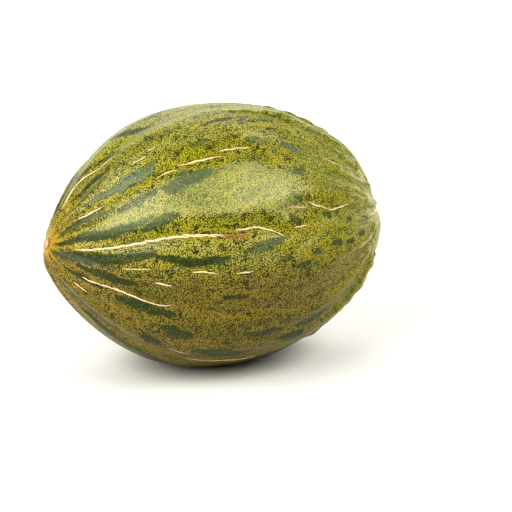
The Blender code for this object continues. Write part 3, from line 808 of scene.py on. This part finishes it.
def button(name, latitude, radius, height, sunk, root):
    """A rough round button: a profile of (radius, height) turned round the end's outward direction.

    The profile starts at the middle of the top, sunk below its rim, comes down the side and ends at a
    point that lies root below the skin. Seeded noise makes each ring's radius and height uneven.
    """
    draw = np.random.default_rng(BUTTON_SEED)
    point, normal, across, up = end_place(latitude)
    share = np.linspace(0, 1, BUTTON_ROWS + 2)[1:-1]
    on_top, down = share / TOP_SHARE, (share - TOP_SHARE) / (1 - TOP_SHARE)
    out = np.where(share < TOP_SHARE, on_top, 1 + 0.12 * down)
    rise = np.where(share < TOP_SHARE, height - sunk * (1 - on_top ** 3), height - (height + root) * down)
    turn = np.linspace(0, 2 * np.pi, BUTTON_SIDES, endpoint=False)
    uneven = sum(np.cos(waves * turn + draw.uniform(0, 6.28)) * draw.uniform(0.02, 0.05)
                 for waves in (2, 3, 5, 8, 13))
    rough = draw.uniform(-1, 1, (BUTTON_ROWS, BUTTON_SIDES)) * 0.12 * MM * (share[:, None] < 0.7)
    near_rim = (out > 0.5) & (share < 0.62)
    ring_out = radius * out[:, None] * (1 + uneven)
    ring_rise = rise[:, None] + rough + 2.5 * MM * uneven * near_rim[:, None]
    sideways = np.cos(turn)[:, None] * across + np.sin(turn)[:, None] * up
    rings = point + ring_out[..., None] * sideways + ring_rise[..., None] * normal
    points = np.vstack((point + normal * (height - sunk), rings.reshape(-1, 3), point - normal * root))
    piece = new_mesh(name, points, [face[::-1] for face in ball_faces(BUTTON_ROWS, BUTTON_SIDES)])
    add_attribute(piece, "from_middle", np.concatenate(([0.0], np.repeat(out, BUTTON_SIDES), [1.2])))
    return piece


scar = button("blossom_scar", 0.0, SCAR_RADIUS, SCAR_HEIGHT, sunk=0.35 * MM, root=3 * MM)
stem = button("stem_cut", 180.0, STEM_RADIUS, STEM_HEIGHT, sunk=0.9 * MM, root=4 * MM)

# Dead stem and blossom tissue is dry and fibrous: pale pinkish cream, browner towards the rim.
FIBRE_SIZE = 1.2 * MM
dry_scar, shader = new_material("dry_scar_tissue")
place = node(dry_scar, "ShaderNodeTexCoord").outputs["Object"]
fibre = node(dry_scar, "ShaderNodeTexNoise", {
    "Vector": place, "Scale": 1 / FIBRE_SIZE, "Detail": 4.0}).outputs["Fac"]
out_at = node(dry_scar, "ShaderNodeAttribute", attribute_name="from_middle").outputs["Fac"]
rim_mix = node(dry_scar, "ShaderNodeMapRange", {
    "Value": out_at, "From Min": 0.55, "From Max": 1.1}, interpolation_type="SMOOTHSTEP").outputs[0]
fibre_mix = node(dry_scar, "ShaderNodeMapRange", {
    "Value": fibre, "From Min": 0.35, "From Max": 0.65}).outputs[0]
scar_colour = node(dry_scar, "ShaderNodeMix", {
    0: fibre_mix, 6: linear("#ae8766"), 7: linear("#dcc4aa")}, data_type="RGBA").outputs[2]
scar_colour = node(dry_scar, "ShaderNodeMix", {
    0: rim_mix, 6: scar_colour, 7: linear("#9c7a4a")}, data_type="RGBA").outputs[2]
dry_scar.node_tree.links.new(scar_colour, shader.inputs["Base Color"])
shader.inputs["Roughness"].default_value = 0.85
scar_bump = node(dry_scar, "ShaderNodeBump", {
    "Strength": 0.7, "Distance": 0.4 * MM, "Height": fibre}).outputs["Normal"]
dry_scar.node_tree.links.new(scar_bump, shader.inputs["Normal"])
for piece in (scar, stem):
    piece.data.materials.append(dry_scar)
    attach(piece, "root")

# ---------------------------------------------------------------------------------------------
# Stage: a plain pale floor, a white surround, and three soft lamps: high on the front right, on the
# left, and above the floor behind. The camera stands low in front of the fruit, a little towards its
# blossom end.
# ---------------------------------------------------------------------------------------------

FLOOR_HALF = 4.0
floor_corners = FLOOR_HALF * np.array(((-1, -1, 0), (1, -1, 0), (1, 1, 0), (-1, 1, 0)))
floor = new_mesh("floor", floor_corners, [[0, 1, 2, 3]])

# Matt white paint: it takes a soft shadow and shows no reflection
matt_floor, shader = new_material("matt_white_floor")
shader.inputs["Base Color"].default_value = linear("#eeedea")
shader.inputs["Roughness"].default_value = 0.9
floor.data.materials.append(matt_floor)

world = bpy.data.worlds.new("studio_surround")
bpy.context.scene.world = world
world.use_nodes = True
background = world.node_tree.nodes["Background"]
# The surround is brighter behind, low down and on the right
facing = node(world, "ShaderNodeTexCoord").outputs["Generated"]
parts = node(world, "ShaderNodeSeparateXYZ", {"Vector": facing}).outputs
behind, below, on_the_right = (
    node(world, "ShaderNodeMapRange", {
        "Value": parts[axis], "From Min": start, "From Max": end, "To Min": at_start, "To Max": at_end},
        interpolation_type="SMOOTHSTEP").outputs[0]
    for axis, start, end, at_start, at_end in (
        ("Y", -0.4, 0.9, 0.2, 1.3), ("Z", 0.05, 0.6, 1.0, 0.6), ("X", -0.6, 1.0, 0.34, 1.78)))
brightness = node(world, "ShaderNodeMath", {0: behind, 1: below}, operation="MULTIPLY").outputs[0]
brightness = node(world, "ShaderNodeMath", {0: brightness, 1: on_the_right}, operation="MULTIPLY").outputs[0]
world.node_tree.links.new(brightness, background.inputs["Strength"])
background.inputs["Color"].default_value = linear("#ffffff")
LAMP_TARGET, CAMERA_TARGET = Vector((0, 0, 0.09)), Vector((0, 0, 0.093))    # in the fruit's middle


def soft_lamp(name, direction, distance, width, height, power):
    """A rectangular lamp that looks at the fruit's middle from a direction. Its power is in watts."""
    lamp = bpy.data.lights.new(name, "AREA")
    lamp.shape = "RECTANGLE"
    lamp.size = width
    lamp.size_y = height
    lamp.energy = power
    holder = bpy.data.objects.new(name, lamp)
    bpy.context.scene.collection.objects.link(holder)
    away = Vector(direction).normalized()
    holder.location = LAMP_TARGET + away * distance
    holder.rotation_euler = away.to_track_quat("Z", "Y").to_euler()
    return holder


soft_lamp("key_lamp", (0.46, -0.60, 0.65), distance=1.1, width=0.8, height=0.55, power=6.3)
soft_lamp("side_lamp", (-0.95, -0.25, 0.6), distance=1.2, width=1.2, height=1.0, power=14.5)
backdrop_lamp = soft_lamp("backdrop_lamp", (0, 0.15, 1), distance=1.6, width=4.5, height=2.0, power=75)
backdrop_lamp.location.y = 2.6
backdrop_lamp.data.spread = np.radians(100)

CAMERA_AZIMUTH, CAMERA_ELEVATION, CAMERA_DISTANCE = -24.0, 14.0, 1.0    # degrees, metres
# In pixels of the square image: its side, the focal length, and where the camera's target falls
IMAGE_SIDE, FOCAL_PIXELS, TARGET_ACROSS, TARGET_DOWN = 512, 1411.5, 214.6, 230.8
camera = bpy.data.objects.new("camera", bpy.data.cameras.new("camera"))
bpy.context.scene.collection.objects.link(camera)
azimuth, elevation = np.radians(CAMERA_AZIMUTH), np.radians(CAMERA_ELEVATION)
back = Vector((np.sin(azimuth) * np.cos(elevation), -np.cos(azimuth) * np.cos(elevation), np.sin(elevation)))
camera.location = CAMERA_TARGET + back * CAMERA_DISTANCE
camera.rotation_euler = back.to_track_quat("Z", "Y").to_euler()
camera.data.lens = FOCAL_PIXELS / IMAGE_SIDE * camera.data.sensor_width
camera.data.shift_x = 0.5 - TARGET_ACROSS / IMAGE_SIDE
camera.data.shift_y = TARGET_DOWN / IMAGE_SIDE - 0.5
bpy.context.scene.camera = camera
bpy.context.scene.view_settings.view_transform = "Standard"
bpy.context.scene.view_settings.look = "High Contrast"
